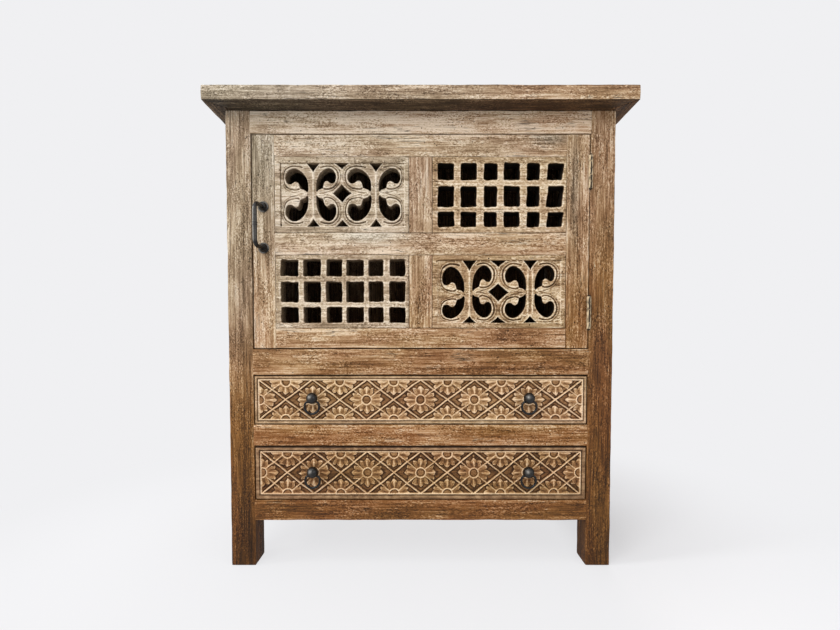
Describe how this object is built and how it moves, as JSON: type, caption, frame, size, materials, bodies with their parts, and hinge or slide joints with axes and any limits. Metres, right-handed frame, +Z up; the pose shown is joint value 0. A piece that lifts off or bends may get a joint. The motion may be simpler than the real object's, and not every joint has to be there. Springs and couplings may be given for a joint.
{
  "type": "carved cabinet",
  "caption": "Reclaimed-teak cabinet with a side-hung pierced lattice door over carved drawers with iron ring pulls, on straight corner-post legs under an overhanging top.",
  "frame": {"origin": "on the floor, under the middle of the top", "axes": "+Z up; -Y is the front with the door and drawers; +X is to the right seen from the front"},
  "size_m": [0.8, 0.42, 0.91],
  "materials": {
    "case_teak": "weathered, brushed and limed teak",
    "door_teak": "greyed, limed teak",
    "carved_teak": "carved teak, pale on the raised edges",
    "drawer_wood": "plain planed wood",
    "black_iron": "near-black wax over iron",
    "hinge_steel": "tarnished steel"
  },
  "bodies": {
    "carcass": {"top_front_board": "case_teak", "top_left_board": "case_teak", "top_right_board": "case_teak", "top_panel": "case_teak", "post_front_left": "case_teak", "post_front_right": "case_teak", "post_rear_left": "case_teak", "post_rear_right": "case_teak", "front_top_rail": "case_teak", "front_middle_rail": "case_teak", "drawer_divider_rail": "case_teak", "front_bottom_rail": "case_teak", "side_top_rail_left": "case_teak", "side_top_rail_right": "case_teak", "side_bottom_rail_left": "case_teak", "side_bottom_rail_right": "case_teak", "side_panel_left": "case_teak", "side_panel_right": "case_teak", "back_panel": "case_teak", "cupboard_floor": "case_teak", "upper_runner_left": "case_teak", "upper_runner_right": "case_teak", "lower_runner_left": "case_teak", "lower_runner_right": "case_teak", "upper_hinge_frame_leaf": "hinge_steel", "lower_hinge_frame_leaf": "hinge_steel", "upper_hinge_pin": "hinge_steel", "lower_hinge_pin": "hinge_steel"},
    "door": {"door_hinge_stile": "door_teak", "door_handle_stile": "door_teak", "door_top_rail": "door_teak", "door_middle_rail": "door_teak", "door_bottom_rail": "door_teak", "door_upper_muntin": "door_teak", "door_lower_muntin": "door_teak", "scroll_panel_upper_left": "carved_teak", "scroll_panel_lower_right": "carved_teak", "grid_panel_upper_right": "carved_teak", "grid_panel_lower_left": "carved_teak", "door_handle": "black_iron", "upper_hinge_door_leaf": "hinge_steel", "lower_hinge_door_leaf": "hinge_steel"},
    "upper_drawer": {"upper_drawer_front": "carved_teak", "upper_drawer_left_side": "drawer_wood", "upper_drawer_right_side": "drawer_wood", "upper_drawer_back": "drawer_wood", "upper_drawer_bottom": "drawer_wood", "upper_left_pull_ball": "black_iron", "upper_right_pull_ball": "black_iron"},
    "lower_drawer": {"lower_drawer_front": "carved_teak", "lower_drawer_left_side": "drawer_wood", "lower_drawer_right_side": "drawer_wood", "lower_drawer_back": "drawer_wood", "lower_drawer_bottom": "drawer_wood", "lower_left_pull_ball": "black_iron", "lower_right_pull_ball": "black_iron"},
    "upper_left_ring": {"upper_left_pull_ring": "black_iron"},
    "upper_right_ring": {"upper_right_pull_ring": "black_iron"},
    "lower_left_ring": {"lower_left_pull_ring": "black_iron"},
    "lower_right_ring": {"lower_right_pull_ring": "black_iron"}
  },
  "joints": [
    {"name": "door_hinge", "type": "hinge", "parent": "carcass", "child": "door", "pos_m": [0.324, -0.1705, 0.632], "axis": [0, 0, 1], "range_deg": [0, 175]},
    {"name": "upper_drawer_slide", "type": "slide", "parent": "carcass", "child": "upper_drawer", "axis": [0, -1, 0], "range_m": [0, 0.24]},
    {"name": "lower_drawer_slide", "type": "slide", "parent": "carcass", "child": "lower_drawer", "axis": [0, -1, 0], "range_m": [0, 0.24]},
    {"name": "upper_left_ring_swing", "type": "hinge", "parent": "upper_drawer", "child": "upper_left_ring", "pos_m": [-0.209, -0.179, 0.327], "axis": [-1, 0, 0], "range_deg": [-20, 90]},
    {"name": "upper_right_ring_swing", "type": "hinge", "parent": "upper_drawer", "child": "upper_right_ring", "pos_m": [0.209, -0.179, 0.327], "axis": [-1, 0, 0], "range_deg": [-20, 90]},
    {"name": "lower_left_ring_swing", "type": "hinge", "parent": "lower_drawer", "child": "lower_left_ring", "pos_m": [-0.209, -0.179, 0.183], "axis": [-1, 0, 0], "range_deg": [-20, 90]},
    {"name": "lower_right_ring_swing", "type": "hinge", "parent": "lower_drawer", "child": "lower_right_ring", "pos_m": [0.209, -0.179, 0.183], "axis": [-1, 0, 0], "range_deg": [-20, 90]}
  ]
}
